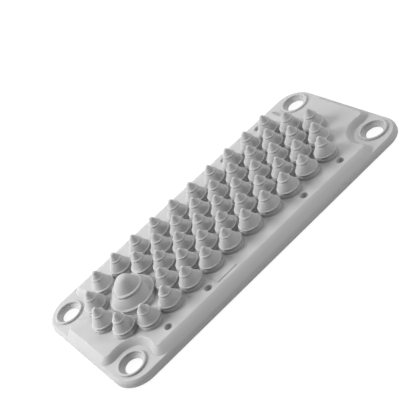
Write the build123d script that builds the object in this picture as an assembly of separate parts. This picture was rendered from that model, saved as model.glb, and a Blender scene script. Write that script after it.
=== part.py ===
from build123d import *
import os
from math import atan, cos, degrees, pi, sin, sqrt

# Cable entry plate: one soft moulding with fifty small membrane cones and a big one.
# Sizes are in millimetres. Z = 0 is the plane of the rear rim and of the rings round
# the hollows, +Z is the side of the cones, and +X is the end with the big cone.

# Plate
LENGTH = 140.0
WIDTH = 66.0
CORNER_R = 10.0
BAND_Z = 1.4            # top of the upright band round the edge
PAD_Z = 2.6             # low flat pads at the corners
PAD_IN = 1.1            # how far the sides lean in up to the pads
TOP_Z = 4.8             # raised field that carries the cones
FIELD_IN = 3.0          # how far they lean in from there up to the raised field
REAR_Z = 1.2            # depth of the shallow recess in the rear
RIM_W = 0.8             # rim left round that recess

# Screw holes: clearance for M6, and a wider bore for the head of a socket screw
SCREW_X = 123.5         # spacing along the plate
SCREW_Y = 46.5          # spacing across the plate
HOLE_X = SCREW_X / 2
HOLE_Y = SCREW_Y / 2
SCREW_R = 3.3
HEAD_R = 5.2
HEAD_FLOOR_Z = 1.9
BOSS_R = HEAD_R + 0.8
BOSS_Z = PAD_Z + 0.5
SCOOP_R = BOSS_R + 1.2  # foot of the raised field's hollowed wall round a screw hole
TURN_R = 4.2            # rounded turns where that wall meets the sides

# Places of the cones
PITCH = 10.0            # hexagonal pattern
ROW_STEP = PITCH * sqrt(3) / 2
PER_ROW = 9
FIRST_X = -53.2         # first cone of the middle row
ROW_SHIFT = {-2: 1.0, -1: 0.5, 0: 0.0, 1: 0.5, 2: 1.0}
BIG_X = 42.8
ROUND_BIG = ((46.4, 16.6), (54.0, 10.35), (57.0, 0.0), (54.0, -10.35), (46.4, -16.6))

# Sections of the cones and hollows, as (radius, height) from the foot to the tip.
# The small ones repeat fifty times, so they are many-sided, with few sides.
SIDES = 12
HOLLOW_SIDES = 10
BIG_SIDES = 24
ROOT_Z = REAR_Z + 1     # the cones start inside the plate
CONE = ((4.7, ROOT_Z), (4.6, 6.4), (2.3, 10.6), (0.8, 13.6))
HOLLOW = ((4.2, 0), (3.9, 6.2), (0, 12.9))
BIG_CONE = ((9.2, ROOT_Z), (9.0, 6.6), (5.9, 11.1), (2.6, 14.9), (0, 15.6))
BIG_HOLLOW = ((8.8, 0), (8.2, 6.2), (0, 14.9))
RING_WALL = 0.6         # ring round the mouth of a small hollow
BIG_RING_WALL = 0.9


def field_outline():
    """Foot of the raised field: a rectangle with a round hollow at each screw hole."""
    half_x = LENGTH / 2 - PAD_IN
    half_y = WIDTH / 2 - PAD_IN
    reach = SCOOP_R + TURN_R
    turn_y = half_y - TURN_R
    turn_x = HOLE_X - sqrt(reach ** 2 - (turn_y - HOLE_Y) ** 2)
    end_x = half_x - TURN_R
    end_y = HOLE_Y - sqrt(reach ** 2 - (end_x - HOLE_X) ** 2)
    corner = make_face(Polyline(
        (turn_x, WIDTH), (turn_x, turn_y), (HOLE_X, HOLE_Y),
        (end_x, end_y), (LENGTH, end_y), (LENGTH, WIDTH), close=True))
    corner += Pos(HOLE_X, HOLE_Y) * Circle(SCOOP_R)
    corner -= Pos(turn_x, turn_y) * Circle(TURN_R)
    corner -= Pos(end_x, end_y) * Circle(TURN_R)
    across = mirror(corner, Plane.XZ)
    area = Rectangle(2 * half_x, 2 * half_y) - corner - across
    return area - mirror(corner, Plane.YZ) - mirror(across, Plane.YZ)


def leaning(outline, low_z, high_z, lean_in):
    """Slab over an outline, whose sides lean in by lean_in on the way up."""
    lean = degrees(atan(lean_in / (high_z - low_z)))
    return extrude(Plane.XY.offset(low_z) * outline, high_z - low_z, taper=lean)


def plate():
    """Flat body with sloping sides, low corner pads, a raised field and a rear recess."""
    outline = RectangleRounded(LENGTH, WIDTH, CORNER_R)
    recess = RectangleRounded(LENGTH - 2 * RIM_W, WIDTH - 2 * RIM_W, CORNER_R - RIM_W)
    body = extrude(outline, BAND_Z) + leaning(outline, BAND_Z, PAD_Z, PAD_IN)
    body += leaning(field_outline(), PAD_Z, TOP_Z, FIELD_IN)
    return body - extrude(recess, REAR_Z)


def screw_seat():
    """Raised ring round a screw hole, and the stepped bore through it."""
    boss = Pos(0, 0, REAR_Z) * extrude(RegularPolygon(BOSS_R, BIG_SIDES), BOSS_Z - REAR_Z)
    head = Pos(0, 0, HEAD_FLOOR_Z) * extrude(Circle(HEAD_R), BOSS_Z)
    return boss, head + extrude(Circle(SCREW_R), BOSS_Z)


def small_places():
    """Centres of the small cones: five staggered rows, and five round the big cone."""
    places = []
    for row, shift in ROW_SHIFT.items():
        for i in range(PER_ROW):
            places.append((FIRST_X + (shift + i) * PITCH, row * ROW_STEP))
    return places + list(ROUND_BIG)


def rear_rings():
    """Rings round the hollows, as high as the rim, and the web that fills between rows."""
    row_reach = (PER_ROW - 1) * PITCH
    starts = [(FIRST_X + ROW_SHIFT[row] * PITCH, row * ROW_STEP) for row in (-2, 0, 2)]
    ends = [(x + row_reach, y) for x, y in reversed(starts)]
    ground = make_face(Polyline(*starts, *ends, close=True))
    for x, y in small_places():
        ground += Pos(x, y) * RegularPolygon(HOLLOW[0][0] + RING_WALL, SIDES)
    ground += Pos(BIG_X, 0) * RegularPolygon(BIG_HOLLOW[0][0] + BIG_RING_WALL, BIG_SIDES)
    return extrude(ground, REAR_Z)


def corners(radius, z, sides):
    """Corners of a regular polygon at one height, all at the apex if it has no radius."""
    step = 2 * pi / sides
    return [(radius * cos(i * step), radius * sin(i * step), z) for i in range(sides)]


def many_sided(section, sides):
    """Solid with flat sides through the (radius, height) levels of a section."""
    rings = [corners(radius, z, sides) for radius, z in section]
    flats = [rings[0]]
    if section[-1][0] > 0:
        flats.append(rings[-1])
    for low, high in zip(rings, rings[1:]):
        for i in range(sides):
            j = (i + 1) % sides
            flat = [low[i], low[j], high[j], high[i]]
            flats.append(flat if high[i] != high[j] else flat[:3])
    return Solid(Shell([make_face(Polyline(*flat, close=True)) for flat in flats]))


def at_cones(small, big):
    """Copies of a small solid at every small cone, and the big solid at the big one."""
    return [Pos(x, y) * small for x, y in small_places()] + [Pos(BIG_X, 0) * big]


def entry_plate():
    """The whole moulding."""
    body = plate() + rear_rings()
    boss, bore = screw_seat()
    for x in (-HOLE_X, HOLE_X):
        for y in (-HOLE_Y, HOLE_Y):
            body = body + Pos(x, y) * boss - Pos(x, y) * bore
    body += at_cones(many_sided(CONE, SIDES), many_sided(BIG_CONE, BIG_SIDES))
    body -= at_cones(many_sided(HOLLOW, HOLLOW_SIDES), many_sided(BIG_HOLLOW, BIG_SIDES))
    return body


os.makedirs("parts", exist_ok=True)
export_step(entry_plate(), "parts/entry_plate.step")
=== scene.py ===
# %% [markdown]
# # A cable entry plate with stepped membrane cones
# The real object is one soft plastic moulding: a rounded plate with a screw hole at each corner,
# fifty small hollow cones and one large one. Cables are pushed through the tips of the cones.
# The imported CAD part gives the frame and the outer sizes. This script builds a finer moulding in its place:
# round cones with thin beads, soft edges, lips on the rings of the rear, blind pinholes and screw seats.
# All lengths below are in millimetres, and the finished mesh is scaled to metres once, at the end.

# %% Frame
import bmesh
import bpy
from math import atan2, cos, degrees, pi, radians, sin, sqrt
from mathutils import Matrix, Vector


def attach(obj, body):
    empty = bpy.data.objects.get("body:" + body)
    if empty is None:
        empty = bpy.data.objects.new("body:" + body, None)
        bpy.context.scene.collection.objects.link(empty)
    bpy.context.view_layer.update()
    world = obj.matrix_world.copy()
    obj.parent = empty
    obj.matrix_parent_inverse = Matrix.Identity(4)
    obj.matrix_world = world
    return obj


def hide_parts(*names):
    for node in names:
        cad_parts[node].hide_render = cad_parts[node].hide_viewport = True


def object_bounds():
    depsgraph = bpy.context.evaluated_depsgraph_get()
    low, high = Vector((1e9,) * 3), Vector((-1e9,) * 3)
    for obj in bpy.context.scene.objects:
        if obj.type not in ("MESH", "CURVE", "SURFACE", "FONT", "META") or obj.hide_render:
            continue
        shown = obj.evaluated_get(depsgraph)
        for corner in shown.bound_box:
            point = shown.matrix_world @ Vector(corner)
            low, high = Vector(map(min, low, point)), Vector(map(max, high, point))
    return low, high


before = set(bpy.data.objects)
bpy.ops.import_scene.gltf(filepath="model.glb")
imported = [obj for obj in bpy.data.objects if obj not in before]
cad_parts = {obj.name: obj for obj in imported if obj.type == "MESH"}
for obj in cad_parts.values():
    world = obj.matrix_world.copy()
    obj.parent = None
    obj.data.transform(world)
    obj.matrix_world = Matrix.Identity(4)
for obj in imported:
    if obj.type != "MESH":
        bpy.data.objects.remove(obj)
size_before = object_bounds()
MM = 0.001
print("frame bounds", size_before)

# %% [markdown]
# ## Sizes of the plate
# Seen from above, the plate is a rectangle with round corners. A low upright band runs round its foot. Above
# it the wall leans inwards in one soft slope up to a raised field. Round each screw hole the field is scooped
# away, so that a low pad is left there. The outer sizes are read from the frame, so that the moulding fills
# the same box as the CAD part. The others are read from the photograph, in the CAD part's scale.

# %% Sizes
HALF_X, HALF_Y, APEX_Z = (round(reach / MM, 3) for reach in size_before[1])
CORNER_R = 10.0
REAR_Z = 1.2                # the sunken rear face, above the rim that the plate stands on
BAND_Z = 0.9                # top of the upright band
PAD_Z = 2.6                 # pads round the screw holes
TOP_Z = 4.8                 # raised field
PAD_IN = 1.1                # how far the pad's edge lies inside the band
HOLE_X, HOLE_Y = 61.75, 23.25
SCOOP_R = 7.8               # foot of the scooped wall round a screw hole
TURN_R = 4.2                # the turn between the scoop and the plate's own edge
print("plate", 2 * HALF_X, "x", 2 * HALF_Y, "mm, its large cone", APEX_Z, "mm high")

# %% [markdown]
# ## Arcs
# Nearly every outline of this plate is made of arcs. They could be typed as coordinates, but a vertex that is
# spun round a centre leaves a true arc behind it, with any number of steps. Spin gives the new edges in no
# promised order, so the helper follows them from vertex to vertex and hands back an ordered chain.

# %% Arc helper
def arc(bm, centre, radius, start, sweep, steps, z):
    """A chain of vertices that a spun vertex leaves behind. The angles are degrees from +X."""
    middle = Vector((centre[0], centre[1], z))
    first = bm.verts.new(middle + radius * Vector((cos(radians(start)), sin(radians(start)), 0)))
    bmesh.ops.spin(bm, geom=[first], cent=middle, axis=(0, 0, 1), angle=radians(sweep), steps=steps)
    chain = [first]
    while True:
        onward = [edge.other_vert(chain[-1]) for edge in chain[-1].link_edges]
        onward = [vert for vert in onward if vert not in chain[-2:]]
        if not onward:
            return chain
        chain.append(onward[0])


print("arc helper ready")

# %% [markdown]
# ## Chains
# Several arcs and straight stretches make one outline. Where a part ends just where the next one starts, the
# two share one vertex, and elsewhere a new edge bridges the gap. Merging by distance would do the same, but
# it forgets the order of the vertices, and the order is needed for the steps that follow.

# %% Chain helpers
SAME_PLACE = 0.001


def pairs(chain, closed):
    """Each point with the next one. In a closed chain the last point is paired with the first."""
    return list(zip(chain, chain[1:] + chain[:1] if closed else chain[1:]))


def joined(bm, parts, closed=False):
    """One long chain. Where two parts meet, the spare vertex goes; elsewhere an edge bridges them."""
    chain = []
    for vert in [vert for part in parts for vert in part]:
        if chain and (vert.co - chain[-1].co).length < SAME_PLACE:
            spare, kept = (chain[-1], vert) if vert.link_faces else (vert, chain[-1])
            bm.verts.remove(spare)
            chain[-1] = kept
        else:
            chain.append(vert)
    for pair in pairs(chain, closed):
        if not bm.edges.get(pair):
            bm.edges.new(pair)
    return chain


print("chain helpers ready")

# %% [markdown]
# ## Lifting a chain
# A moulding like this is easiest to think of as an outline that is lifted step by step and drawn in as it
# rises. Inset works on faces, and here there are only edges yet, so each step extrudes the edges and moves
# the new vertices. At a corner the move is longer than on a straight stretch, which keeps the wall even.

# %% Lifting helpers
def outward(chain, closed=False):
    """For each point of an anticlockwise chain, the move that shifts both of its edges out by 1 mm."""
    moves = []
    for k, here in enumerate(chain):
        before = [here.co - chain[k - 1].co] if closed or k > 0 else []
        after = [chain[(k + 1) % len(chain)].co - here.co] if closed or k < len(chain) - 1 else []
        sides = [Vector((side.y, -side.x, 0)).normalized() for side in before + after]
        moves.append((sides[0] + sides[-1]) / (1 + sides[0].dot(sides[-1])))
    return moves


def lifted(bm, chain, moves, steps, closed=False):
    """Extrudes the chain's edges through steps of (inset, height) and gives the last chain."""
    base = [vert.co.copy() for vert in chain]
    for inset, z in steps:
        edges = [bm.edges.get(pair) for pair in pairs(chain, closed)]
        made = bmesh.ops.extrude_edge_only(bm, edges=edges)["geom"]
        new = {part for part in made if isinstance(part, bmesh.types.BMVert)}
        chain = [next(edge.other_vert(vert) for edge in vert.link_edges if edge.other_vert(vert) in new)
                 for vert in chain]
        for vert, start, move in zip(chain, base, moves):
            vert.co = start - inset * move
            vert.co.z = z
    return chain


print("lifting helpers ready")

# %% [markdown]
# ## A quarter of the plate
# The plate without its cones is the same in all four quarters. Only one quarter is modelled, and mirrored
# later. Its outline starts at the middle of the short side, runs round the corner and ends at the middle of
# the long side. Two of its points are the places where the turned edge of the scoop meets the plate's edge.

# %% Quarter outline
CORNER_STEPS = 18
plate = bmesh.new()
edge_x, edge_y = HALF_X - PAD_IN, HALF_Y - PAD_IN
turn_x, turn_y = edge_x - TURN_R, edge_y - TURN_R
side_x = HOLE_X - sqrt((SCOOP_R + TURN_R) ** 2 - (turn_y - HOLE_Y) ** 2)
end_y = HOLE_Y - sqrt((SCOOP_R + TURN_R) ** 2 - (turn_x - HOLE_X) ** 2)

outline = joined(plate, [
    [plate.verts.new((HALF_X, 0, BAND_Z)), plate.verts.new((HALF_X, end_y, BAND_Z))],
    arc(plate, (HALF_X - CORNER_R, HALF_Y - CORNER_R), CORNER_R, 0, 90, CORNER_STEPS, BAND_Z),
    [plate.verts.new((side_x, HALF_Y, BAND_Z)), plate.verts.new((0, HALF_Y, BAND_Z))],
])
moves = outward(outline)
print("the scoop's edge meets the long side at x", round(side_x, 2), "and the end at y", round(end_y, 2))

# %% [markdown]
# ## Rim and shoulder
# The real plate stands on a narrow rounded rim, and its rear face is sunken a little behind it. From the
# outline the wall goes down over that rim to the rear face, and up over a rounded shoulder to the height of
# the pads. Bevelling a block would round its edges too, but a typed profile keeps each radius its own.

# %% Rim and shoulder
RIM = ((0, 0.22), (0.03, 0.1), (0.1, 0.02), (0.2, 0), (0.68, 0), (0.76, 0.02), (0.8, 0.1), (0.9, REAR_Z))
SHOULDER = ((0.04, 1.25), (0.15, 1.58), (0.35, 1.9), (0.66, 2.23), (PAD_IN, PAD_Z))
lifted(plate, outline, moves, RIM)
shoulder = lifted(plate, outline, moves, SHOULDER)
print("wall faces", len(plate.faces))

# %% [markdown]
# ## Scoop and slope of the field
# At pad height the field's edge leaves the plate's edge in a small round turn, runs round the screw hole as a
# scoop, and turns back. The slope above leans in farther on the long sides than at the ends and in the
# scoops, so each point of the chain gets its own lean. A boolean cut would leave sharp corners there.

# %% Field edge
TURN_STEPS, SCOOP_STEPS = 8, 18
to_side = degrees(atan2(turn_y - HOLE_Y, side_x - HOLE_X))
to_end = degrees(atan2(end_y - HOLE_Y, turn_x - HOLE_X)) + 360

field_edge = joined(plate, [
    shoulder[:2],
    arc(plate, (turn_x, end_y), TURN_R, 0, to_end - 180, TURN_STEPS, PAD_Z),
    arc(plate, (HOLE_X, HOLE_Y), SCOOP_R, to_end, to_side - to_end, SCOOP_STEPS, PAD_Z),
    arc(plate, (side_x, turn_y), TURN_R, to_side - 180, 270 - to_side, TURN_STEPS, PAD_Z),
    shoulder[-2:],
])
print("points of the field's edge", len(field_edge))

# %% Slope
LEAN_LONG, LEAN_END, LEAN_SCOOP = 3.95, 2.5, 2.25
SLOPE = ((0.13, 2.98), (0.28, 3.4), (0.46, 3.86), (0.64, 4.25), (0.79, 4.53), (0.89, 4.69), (0.94, 4.76),
         (0.98, 4.79), (1.0, TOP_Z))    # share of the lean, and height


def lean(k):
    """How far the slope leans in at point k of the edge: steady on the straights, blended over the turns."""
    if k <= 1 + TURN_STEPS:
        return LEAN_END + (LEAN_SCOOP - LEAN_END) * max(k - 1, 0) / TURN_STEPS
    blend = min(max(k - 1 - TURN_STEPS - SCOOP_STEPS, 0) / TURN_STEPS, 1)
    return LEAN_SCOOP + (LEAN_LONG - LEAN_SCOOP) * blend


lifted(plate, field_edge, [lean(k) * move for k, move in enumerate(outward(field_edge))], SLOPE)
print("faces of a quarter so far", len(plate.faces))

# %% [markdown]
# ## Turned forms
# Seats, cones, rings and pinholes are all round. They could start from ready-made cones and cylinders, but a
# lathe makes such a form in one go: a profile of (radius, height) is spun once round the upright axis. A
# turned form is made once as a mesh of its own, and then copied to every place where it is needed.

# %% Turning helpers
MERGE = 0.002


def turned(profile, steps):
    """A mesh made by a full turn of a profile round the upright axis."""
    shape = bmesh.new()
    points = [shape.verts.new((radius, 0, z)) for radius, z in profile]
    edges = [shape.edges.new(pair) for pair in pairs(points, False)]
    bmesh.ops.spin(shape, geom=points + edges, cent=(0, 0, 0), axis=(0, 0, 1), angle=2 * pi, steps=steps,
                   use_merge=True)
    bmesh.ops.remove_doubles(shape, verts=shape.verts, dist=MERGE)
    form = bpy.data.meshes.new("turned_form")
    shape.to_mesh(form)
    shape.free()
    return form


def placed(bm, form, places):
    """Adds a copy of the turned form at each place."""
    for x, y in places:
        form.transform(Matrix.Translation((x, y, 0)))
        bm.from_mesh(form)
        form.transform(Matrix.Translation((-x, -y, 0)))


print("turning helpers ready")

# %% [markdown]
# ## Screw seats
# On the real plate a raised ring stands round each screw hole. Inside it a bore for the screw's head goes
# down over small ledges to the through hole. One profile holds all of that, from the ring's foot inwards.

# %% Screw seat
RAISED_RING = ((5.72, PAD_Z), (5.7, 2.9), (5.62, 3.14), (5.46, 3.28), (5.24, 3.33), (5.0, 3.3), (4.87, 3.22))
HEAD_BORE = ((4.8, 3.08), (4.78, 2.34), (4.74, 2.26), (4.42, 2.22), (4.34, 2.14), (4.32, 1.82), (4.26, 1.76),
             (3.9, 1.72), (3.82, 1.64), (3.8, 1.4))
THROUGH_HOLE = ((3.4, 1.3), (3.32, 1.26), (3.34, REAR_Z))
SEAT_STEPS = 44
placed(plate, turned(RAISED_RING + HEAD_BORE + THROUGH_HOLE, SEAT_STEPS), [(HOLE_X, HOLE_Y)])
print("seat steps", SEAT_STEPS)

# %% [markdown]
# ## Level faces
# The pads, the field and the rear face are level, and round holes and rings stand in all of them. Triangle
# fill finds what lies between the open rings of one height, so no hole has to be cut.

# %% Level face helpers
SAME_HEIGHT = 0.0001


def open_edges(bm, z):
    """The edges at one height that have a face on one side only."""
    return [edge for edge in bm.edges
            if len(edge.link_faces) < 2 and all(abs(vert.co.z - z) < SAME_HEIGHT for vert in edge.verts)]


def filled(bm, z):
    """Fills what lies between the open rings at one height, and counts the new faces."""
    made = bmesh.ops.triangle_fill(bm, use_beauty=True, use_dissolve=False, edges=open_edges(bm, z),
                                   normal=(0, 0, 1))
    return len([part for part in made["geom"] if isinstance(part, bmesh.types.BMFace)])


print("pad triangles", filled(plate, PAD_Z))

# %% [markdown]
# ## The whole plate
# Mirroring the quarter over both middle lines gives the plate. A mirror modifier would do it too, but the
# cones that come next aren't the same in all quarters. The merge distance sews the halves together.

# %% Mirror
for axis in ("X", "Y"):
    bmesh.ops.mirror(plate, geom=plate.verts[:] + plate.edges[:] + plate.faces[:], axis=axis,
                     merge_dist=SAME_PLACE)
print("plate vertices", len(plate.verts))

# %% [markdown]
# ## Where the cones stand
# The small cones stand in five rows. Each row is shifted by half a step against the one before it, so they
# pack as closely as stacked pipes. One spacing and the place of the first cone give all the rows. The five
# cones that curl round the large one follow no such rule, and are placed one by one.

# %% Places
PITCH = 10.0
ROW_STEP = PITCH * sqrt(3) / 2
FIRST_X = -53.2
CONES_IN_ROW = 9
ROWS = (-2, -1, 0, 1, 2)
BIG = (42.8, 0.0)
ROUND_BIG = [(46.4, 16.6), (54.0, 10.35), (57.0, 0.0), (54.0, -10.35), (46.4, -16.6)]


def row(number):
    """The places of one row. The middle row has number 0."""
    first_x = FIRST_X + PITCH * abs(number) / 2
    return [(first_x + PITCH * k, number * ROW_STEP) for k in range(CONES_IN_ROW)]


small_places = [place for number in ROWS for place in row(number)] + ROUND_BIG
print("small cones", len(small_places))

# %% [markdown]
# ## The small cones
# A real cone is a thin wall that gives way when a cable is pushed through its tip. Outside it has a short
# skirt and two slopes, with a rolled bead between each and the next, and a fine groove under each bead. Its
# tip is round and closed. Inside it is nearly straight at first, then narrows with one small step, and its
# mouth on the rear has a soft lip. The outside is spun from the field's height and the inside from the rear,
# and the level faces that come later join the two through the plate.

# %% Small cones
SKIRT = ((4.76, TOP_Z), (4.73, 4.93), (4.69, 5.2), (4.64, 5.65), (4.56, 5.95), (4.38, 6.08), (4.16, 6.17))
LOWER_BEAD = ((4.05, 6.32), (4.08, 6.52), (4.28, 6.64), (4.46, 6.72), (4.53, 6.85), (4.53, 7.0), (4.44, 7.12),
              (4.26, 7.17), (4.04, 7.22))
LOWER_SLOPE = ((3.92, 7.4), (3.56, 8.2), (3.1, 9.1), (2.76, 9.8), (2.56, 10.12), (2.4, 10.25))
UPPER_BEAD = ((2.34, 10.36), (2.38, 10.47), (2.49, 10.56), (2.55, 10.69), (2.54, 10.83), (2.44, 10.93),
              (2.25, 10.98))
UPPER_SLOPE = ((2.06, 11.05), (1.96, 11.22), (1.68, 11.8), (1.34, 12.4), (1.06, 12.86))
TIP = ((0.91, 13.09), (0.79, 13.28), (0.6, 13.46), (0.3, 13.57), (0, 13.6))
OUTSIDE = SKIRT + LOWER_BEAD + LOWER_SLOPE + UPPER_BEAD + UPPER_SLOPE + TIP

WEB_Z = 0.2                 # the web that lies between the mouths on the rear
LIP = ((4.6, WEB_Z), (4.57, 0.07), (4.49, 0), (4.34, 0), (4.25, 0.05), (4.2, WEB_Z))
HOLLOW = ((4.14, 3), (3.92, 6.1), (3.62, 6.9), (2.1, 10.1), (1.78, 10.3), (0.5, 12.65), (0, 12.9))
INSIDE = LIP + HOLLOW

CONE_STEPS = 32
for profile in (OUTSIDE, INSIDE):
    placed(plate, turned(profile, CONE_STEPS), small_places)
print("points in a small cone's profiles", len(OUTSIDE) + len(INSIDE))

# %% [markdown]
# ## The large cone
# It is built like the small ones, with thicker beads and a round dome in place of the thin tip. A scaled copy
# would have a thicker wall too, and a moulding is best when its walls are about as thin everywhere.

# %% Large cone
BIG_SKIRT = ((9.1, TOP_Z), (9.06, 4.95), (8.98, 5.1), (8.92, 5.6), (8.8, 5.86), (8.54, 5.96))
BIG_LOWER_BEAD = ((8.46, 6.08), (8.5, 6.2), (8.68, 6.28), (8.86, 6.38), (8.96, 6.53), (8.94, 6.71),
                  (8.82, 6.85), (8.6, 6.92), (8.34, 6.94), (8.12, 7.0))
BIG_SLOPE = ((7.98, 7.22), (7.5, 8.05), (6.85, 9), (6.32, 9.75), (6.02, 10.08), (5.74, 10.15))
BIG_UPPER_BEAD = ((5.6, 10.24), (5.63, 10.36), (5.8, 10.45), (5.95, 10.58), (5.99, 10.76), (5.94, 10.95),
                  (5.79, 11.1), (5.55, 11.17), (5.3, 11.16), (5.1, 11.1))
DOME = ((4.98, 11.2), (4.86, 11.4), (4.5, 12.05), (4.05, 12.82), (3.5, 13.6), (2.95, 14.28), (2.45, 14.8),
        (1.95, 15.16), (1.4, 15.41), (0.75, 15.56), (0, APEX_Z))
BIG_OUTSIDE = BIG_SKIRT + BIG_LOWER_BEAD + BIG_SLOPE + BIG_UPPER_BEAD + DOME

BIG_LIP = ((9.15, WEB_Z), (9.11, 0.07), (9.02, 0), (8.92, 0), (8.84, 0.05), (8.8, WEB_Z))
BIG_HOLLOW = ((8.68, 3), (8.0, 6), (7.6, 7.1), (5.05, 10.3), (4.75, 10.5), (2, 14.1), (1.1, 14.7), (0, 14.9))
BIG_INSIDE = BIG_LIP + BIG_HOLLOW

BIG_STEPS = 72
for profile in (BIG_OUTSIDE, BIG_INSIDE):
    placed(plate, turned(profile, BIG_STEPS), [BIG])
print("points in the large cone's profiles", len(BIG_OUTSIDE) + len(BIG_INSIDE))

# %% [markdown]
# ## Pinholes
# The real plate has small blind holes: four along each long edge of the field, others on the rear face, and
# shallow dimples there. Each has a softened mouth that catches a little light. They could be cut with
# booleans, but a turned hole whose open ring lies in a level face is joined to it by the fill, at no cost.

# %% Pinholes
FRONT_PIN = ((1.55, TOP_Z), (1.5, 4.74), (1.46, 4.5), (1.4, 3.3), (1.2, 3.15), (1.14, 1.5), (0, 1.45))
REAR_PIN = ((1.1, REAR_Z), (1.02, 1.28), (0.98, 3.6), (0, 3.7))
SHORT_PIN = ((1.1, REAR_Z), (1.02, 1.28), (0.98, 2.1), (0, 2.15))
DIMPLE = ((1.05, REAR_Z), (0.9, 1.38), (0.5, 1.52), (0, 1.56))

FRONT_PLACES = [(x, y) for x in (-42.8, -23.4, 25.3, 44.6) for y in (-25, 25)]
REAR_PLACES = [(x, y) for x in (-28.7, -8.5, 10.3, 30.4) for y in (-24.1, 24.1)]
SHORT_PLACES = [(-53.8, 20), (53.4, 20), (53.4, -20), (61.8, 7.8), (61.8, -7.8)]
DIMPLE_PLACES = [(-62.4, 7.8), (-61.9, -6.1), (-53.8, -19.1)]

FRONT_PIN_STEPS, REAR_PIN_STEPS = 20, 18
placed(plate, turned(FRONT_PIN, FRONT_PIN_STEPS), FRONT_PLACES)
placed(plate, turned(REAR_PIN, REAR_PIN_STEPS), REAR_PLACES)
placed(plate, turned(SHORT_PIN, REAR_PIN_STEPS), SHORT_PLACES)
placed(plate, turned(DIMPLE, REAR_PIN_STEPS), DIMPLE_PLACES)
print("pinholes and dimples", len(FRONT_PLACES + REAR_PLACES + SHORT_PLACES + DIMPLE_PLACES))

# %% [markdown]
# ## Low panel
# Near one long edge lies a plain rectangle that stands out of the field by a fifth of a millimetre. It starts
# as one square of a grid. Its edges are extruded down to the field, so that its foot is one more open ring.

# %% Low panel
PANEL_X, PANEL_Y, PANEL_Z = (12.4, 21.7), (22.4, 26.5), TOP_Z + 0.2
corners = bmesh.ops.create_grid(plate, x_segments=1, y_segments=1, size=0.5)["verts"]
bmesh.ops.scale(plate, vec=(PANEL_X[1] - PANEL_X[0], PANEL_Y[1] - PANEL_Y[0], 1), verts=corners)
bmesh.ops.translate(plate, vec=(sum(PANEL_X) / 2, sum(PANEL_Y) / 2, PANEL_Z), verts=corners)
panel = corners[0].link_faces[0]
walls = bmesh.ops.extrude_edge_only(plate, edges=panel.edges[:])["geom"]
foot = [part for part in walls if isinstance(part, bmesh.types.BMVert)]
bmesh.ops.translate(plate, vec=(0, 0, TOP_Z - PANEL_Z), verts=foot)
print("low panel from x", PANEL_X[0], "to", PANEL_X[1])

# %% [markdown]
# ## The web between the rings on the rear
# Behind the cones the rings stand out of the sunken rear face, and a web fills the space between them almost
# to their lips. Its outside follows the outer rings in scallops. A widened union of circles would give them
# too, but here each outer ring simply gets one arc, from the direction of the ring before it round the
# outside to the next one. The arcs stop a little short, so that the valleys between the scallops are soft.

# %% Scalloped web
RING_R = 4.8
ARC_STEP = 11               # degrees
VALLEY = 15                 # degrees that a scallop stops short on each side
WEB_FLANK = ((-0.02, 0.4), (-0.16, 1.1), (-0.24, REAR_Z))
outer_rings = row(2)[::-1] + [row(1)[0], row(0)[0], row(-1)[0]] + row(-2) + ROUND_BIG[::-1]


def towards(here, there):
    """The direction from one place to another, in degrees from +X."""
    return degrees(atan2(there[1] - here[1], there[0] - here[0]))


def ring_arc(bm, centre, radius, start, end, z):
    """An anticlockwise arc between two directions, in steps of nearly the same size."""
    sweep = (end - start) % 360
    return arc(bm, centre, radius, start, sweep, max(2, round(sweep / ARC_STEP)), z)


scallops = joined(plate, [
    ring_arc(plate, here, RING_R, towards(here, outer_rings[k - 1]) + VALLEY,
             towards(here, outer_rings[(k + 1) % len(outer_rings)]) - VALLEY, WEB_Z)
    for k, here in enumerate(outer_rings)
], closed=True)
lifted(plate, scallops, outward(scallops, True), WEB_FLANK, closed=True)
print("scallop points", len(scallops))

# %% [markdown]
# ## Pockets
# Round the large ring the web has small three-sided pockets, each between the large ring and two small ones.
# The sides of a pocket run along those three rings, so it is made of three arcs, and lifted straight up.

# %% Pockets
BIG_RING_R = 9.6
POCKET_Z = 0.95
SHORT_OF_SMALL, SHORT_OF_BIG, SHORT_OF_NEXT = 13, 25, 16    # degrees that the arcs keep from the rings
rings_round_big = ROUND_BIG[::-1] + [row(number)[-1] for number in (2, 1, 0, -1, -2)]
for here, after in pairs(rings_round_big, True):
    pocket = joined(plate, [
        ring_arc(plate, BIG, BIG_RING_R, towards(BIG, here) + SHORT_OF_SMALL,
                 towards(BIG, after) - SHORT_OF_SMALL, WEB_Z),
        ring_arc(plate, after, RING_R, towards(after, BIG) + SHORT_OF_BIG,
                 towards(after, here) - SHORT_OF_NEXT, WEB_Z),
        ring_arc(plate, here, RING_R, towards(here, after) + SHORT_OF_NEXT,
                 towards(here, BIG) - SHORT_OF_BIG, WEB_Z),
    ], closed=True)
    lifted(plate, pocket, [Vector()] * len(pocket), ((0, POCKET_Z),), closed=True)
print("pockets", len(rings_round_big))

# %% [markdown]
# ## Closing the skin
# Now every other level face is filled: the pockets' floors, the web, the rear face and the field. This sews
# the plate, the cones and the rings into one closed skin. The doubles are merged first, and the normals are
# turned outwards last, because mirroring and spinning can leave them pointing inwards.

# %% Fill and close
bmesh.ops.remove_doubles(plate, verts=plate.verts, dist=MERGE)
for z in (POCKET_Z, WEB_Z, REAR_Z, TOP_Z):
    print("level", z, "triangles", filled(plate, z))
bmesh.ops.recalc_face_normals(plate, faces=plate.faces)
print("edges without two faces", len([edge for edge in plate.edges if len(edge.link_faces) != 2]))

# %% [markdown]
# ## Soft and crisp edges
# Smooth shading makes the spun forms round. Where a level face ends, or two faces meet at a steep angle, the
# edge is kept crisp. Otherwise the smoothing would bend the light on the broad level faces.

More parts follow.
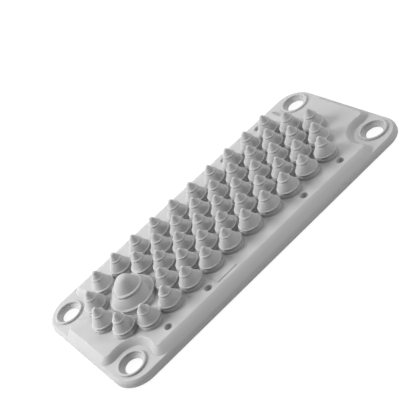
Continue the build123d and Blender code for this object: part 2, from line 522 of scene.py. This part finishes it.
# %% Shading
LEVELS = (WEB_Z, REAR_Z, PAD_Z, PANEL_Z, TOP_Z, POCKET_Z)
UPRIGHT = 0.9999            # how nearly a level face's normal points straight up or down
STEEP, SLIGHT = radians(75), 0.01


def is_level(face):
    """Whether a face is one of the broad level ones."""
    level = abs(face.normal.z) > UPRIGHT
    return level and min(abs(face.calc_center_median().z - z) for z in LEVELS) < SAME_PLACE


plate.normal_update()
for face in plate.faces:
    face.smooth = True
for edge in plate.edges:
    turn = edge.calc_face_angle()
    ends_level = is_level(edge.link_faces[0]) != is_level(edge.link_faces[1])
    edge.smooth = not (turn > STEEP or (ends_level and turn > SLIGHT))
print("crisp edges", len([edge for edge in plate.edges if not edge.smooth]))

# %% [markdown]
# ## Into the scene
# Until here the moulding is only a bmesh, which nothing shows. It is scaled to metres, written to a mesh and
# given an object that sits at the origin, unturned and unscaled, as the CAD part's own node does.

# %% Moulding
def into_scene(bm, name):
    """Turns a finished bmesh into an object of the scene."""
    mesh = bpy.data.meshes.new(name)
    bm.to_mesh(mesh)
    bm.free()
    thing = bpy.data.objects.new(name, mesh)
    bpy.context.scene.collection.objects.link(thing)
    return thing


bmesh.ops.scale(plate, vec=(MM, MM, MM), verts=plate.verts)
moulding = into_scene(plate, "moulding")
print("moulding triangles", sum(len(face.vertices) - 2 for face in moulding.data.polygons))

# %% [markdown]
# ## Tools for the finish
# A material is a net of nodes. Wiring it by hand takes many lines, so two small classes help. A wire stands
# for a node's output, and adding or multiplying wires adds the Math nodes for it. A finish is the net itself,
# and its one method adds any node, with its settings first and then what its sockets hold.

# %% Shader helpers
class Wire:
    """A socket that can be used in sums."""

    def __init__(self, finish, socket):
        self.finish, self.socket = finish, socket

    def _maths(self, operation, first, second):
        return self.finish.add("ShaderNodeMath", {"operation": operation}, {0: first, 1: second})

    def __add__(self, other):
        return self._maths("ADD", self, other)

    def __radd__(self, other):
        return self._maths("ADD", other, self)

    def __mul__(self, other):
        return self._maths("MULTIPLY", self, other)

    def __rmul__(self, other):
        return self._maths("MULTIPLY", other, self)


class Finish:
    """A material, or the sky, that is put together node by node."""

    def __init__(self, owner):
        self.owner = owner
        owner.use_nodes = True
        self.tree = owner.node_tree
        self.tree.nodes.clear()

    def add(self, kind, settings=None, sockets=None, out=0):
        """Adds a node: its settings first, then the values or wires of its sockets."""
        node = self.tree.nodes.new(kind)
        for key, value in (settings or {}).items():
            setattr(node, key, value)
        for key, value in (sockets or {}).items():
            if isinstance(value, Wire):
                self.tree.links.new(value.socket, node.inputs[key])
            else:
                node.inputs[key].default_value = value
        return Wire(self, node.outputs[out]) if node.outputs else node


print("shader helpers ready")

# %% [markdown]
# ## Grey plastic
# The plate is a plain grey, dull, slightly rubbery plastic. A single flat grey would look like clay, so the
# grey drifts by a percent or two, the dullness varies a little with it, and a very fine grain stands for the
# texture of the mould. All three follow Object coordinates, so that they stay on the plate as it moves.

# %% Grey plastic
GREY = (0.455, 0.455, 0.46, 1)
GREY_LOW = (0.43, 0.43, 0.435, 1)
DRIFT_SCALE, GRAIN_SCALE = 38.0, 2600.0
GRAIN_STRENGTH, GRAIN_DEPTH = 0.12, 0.00004
DULL, DULL_DRIFT = 0.5, 0.14
OBJECT_PLACE = 3                    # the Object output of Texture Coordinate
MIX_BY, MIX_LOW, MIX_HIGH, MIX_OUT = 0, 6, 7, 2     # the colour sockets of Mix

grey = Finish(bpy.data.materials.new("grey_plastic"))
where = grey.add("ShaderNodeTexCoord", out=OBJECT_PLACE)
drift = grey.add("ShaderNodeTexNoise", None, {
    "Vector": where, "Scale": DRIFT_SCALE, "Detail": 3.0, "Roughness": 0.55})
grain = grey.add("ShaderNodeTexNoise", None, {
    "Vector": where, "Scale": GRAIN_SCALE, "Detail": 2.0, "Roughness": 0.6})
colour = grey.add("ShaderNodeMix", {"data_type": "RGBA"}, {
    MIX_BY: drift, MIX_LOW: GREY_LOW, MIX_HIGH: GREY}, out=MIX_OUT)
dullness = DULL + DULL_DRIFT * drift
bump = grey.add("ShaderNodeBump", None, {
    "Height": grain, "Strength": GRAIN_STRENGTH, "Distance": GRAIN_DEPTH})
surface = grey.add("ShaderNodeBsdfPrincipled", None, {
    "Base Color": colour, "Roughness": dullness, "Normal": bump, "Specular IOR Level": 0.35})
grey.add("ShaderNodeOutputMaterial", None, {"Surface": surface})
moulding.data.materials.append(grey.owner)
print("finish", grey.owner.name)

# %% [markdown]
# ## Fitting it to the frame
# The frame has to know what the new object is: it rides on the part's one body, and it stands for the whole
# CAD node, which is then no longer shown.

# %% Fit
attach(moulding, "root")
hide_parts("entry_plate")
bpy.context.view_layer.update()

# %% [markdown]
# ## Floor
# The floor is pale and plain, and the plate lies on it. It has to look white without lighting the plate from
# below, so it glows only for the rays that come straight from the camera. A tenth of what they see is still
# the matt floor, and that keeps the plate's soft shadow.

# %% Floor
FLOOR_HALF = 3.0                    # metres
FLOOR_Z = -0.0005                   # just under the rim, so that the two don't flicker
WHITE, PALE = (1, 1, 1, 1), (0.8, 0.8, 0.8, 1)
GLOW, GLOW_SHARE = 1.06, 0.9
CAMERA_RAY = 0                      # the Is Camera Ray output of Light Path

ground = bmesh.new()
bmesh.ops.create_grid(ground, x_segments=1, y_segments=1, size=FLOOR_HALF)
bmesh.ops.translate(ground, vec=(0, 0, FLOOR_Z), verts=ground.verts)
floor = into_scene(ground, "floor")
white = Finish(bpy.data.materials.new("floor_white"))
seen = white.add("ShaderNodeLightPath", out=CAMERA_RAY)
matt = white.add("ShaderNodeBsdfPrincipled", None, {"Base Color": PALE, "Roughness": 0.9})
glow = white.add("ShaderNodeEmission", None, {"Color": WHITE, "Strength": GLOW})
both = white.add("ShaderNodeMixShader", None, {0: seen * GLOW_SHARE, 1: matt, 2: glow})
white.add("ShaderNodeOutputMaterial", None, {"Surface": both})
floor.data.materials.append(white.owner)
print("floor done")

# %% [markdown]
# ## Sky
# The sky is split in the same way: the camera sees it white, and for every other ray it is almost dark. An
# evenly bright sky would fill the gaps between the cones with light, and they would look flat.

# %% Sky
FAINT, PLAIN = 0.02, 1.0
world = bpy.data.worlds.new("pale_sky")
bpy.context.scene.world = world
sky = Finish(world)
direct = sky.add("ShaderNodeLightPath", out=CAMERA_RAY)
faint = sky.add("ShaderNodeBackground", None, {"Color": WHITE, "Strength": FAINT})
plain = sky.add("ShaderNodeBackground", None, {"Color": WHITE, "Strength": PLAIN})
dome = sky.add("ShaderNodeMixShader", None, {0: direct, 1: faint, 2: plain})
sky.add("ShaderNodeOutputWorld", None, {"Surface": dome})
bpy.context.scene.view_settings.view_transform = "Standard"
print("sky done")

# %% [markdown]
# ## Lamps
# The light comes mostly from the left and from behind, beyond the end with the large cone, so that the cones
# are bright on their left and their gaps stay dark. A small lamp near the viewer, on the right, throws the
# sharp shadow that each tip leaves on the cone behind it. The others are weak and open the shadows a little.
# A broad lamp gives soft shadows and a small one gives sharp ones, which is why their sizes differ.

# %% Lamps
LAMPS = {                           # the place, size and power of each
    "left_lamp": ((0.25, -0.22, 0.24), 0.25, 1.87),
    "left_low_lamp": ((0.33, -0.1, 0.17), 0.2, 0.35),
    "back_lamp": ((-0.15, -0.3, 0.3), 0.25, 0.72),
    "right_lamp": ((-0.33, -0.05, 0.2), 0.2, 0.33),
    "near_right_lamp": ((-0.27, 0.3, 0.225), 0.06, 0.5),
    "near_left_lamp": ((0.2, 0.3, 0.3), 0.2, 0.06),
    "top_lamp": ((0, 0, 0.5), 0.3, 0.5),
}


def lamp(name, place, size, power):
    """A square soft lamp, in metres and watts, turned towards the middle of the plate."""
    light = bpy.data.lights.new(name, "AREA")
    light.size = size
    light.energy = power
    thing = bpy.data.objects.new(name, light)
    thing.location = place
    thing.rotation_euler = Vector(place).to_track_quat("Z", "Y").to_euler()
    bpy.context.scene.collection.objects.link(thing)


for name, (place, size, power) in LAMPS.items():
    lamp(name, place, size, power)
print("lamps", len(LAMPS))

# %% [markdown]
# ## Camera
# The camera looks down on the plate from over one long side, a little towards the end with the large cone,
# and is tilted as in the photograph. Its place, turn and lens were fitted together, until the plate's outline
# and its corner holes fell where they should.

# %% Camera
LENS, SENSOR = 87.18, 36.0          # millimetres of the camera, not of the plate
CAMERA_PLACE = (0.09967, 0.28897, 0.22578)
CAMERA_TURN = (50.182, 25.693, 141.293)     # degrees

view = bpy.data.cameras.new("view_camera")
view.lens = LENS
view.sensor_width = SENSOR
view.clip_start = 0.01
camera = bpy.data.objects.new("view_camera", view)
camera.location = CAMERA_PLACE
camera.rotation_euler = [radians(angle) for angle in CAMERA_TURN]
bpy.context.scene.collection.objects.link(camera)
bpy.context.scene.camera = camera
print("camera done")
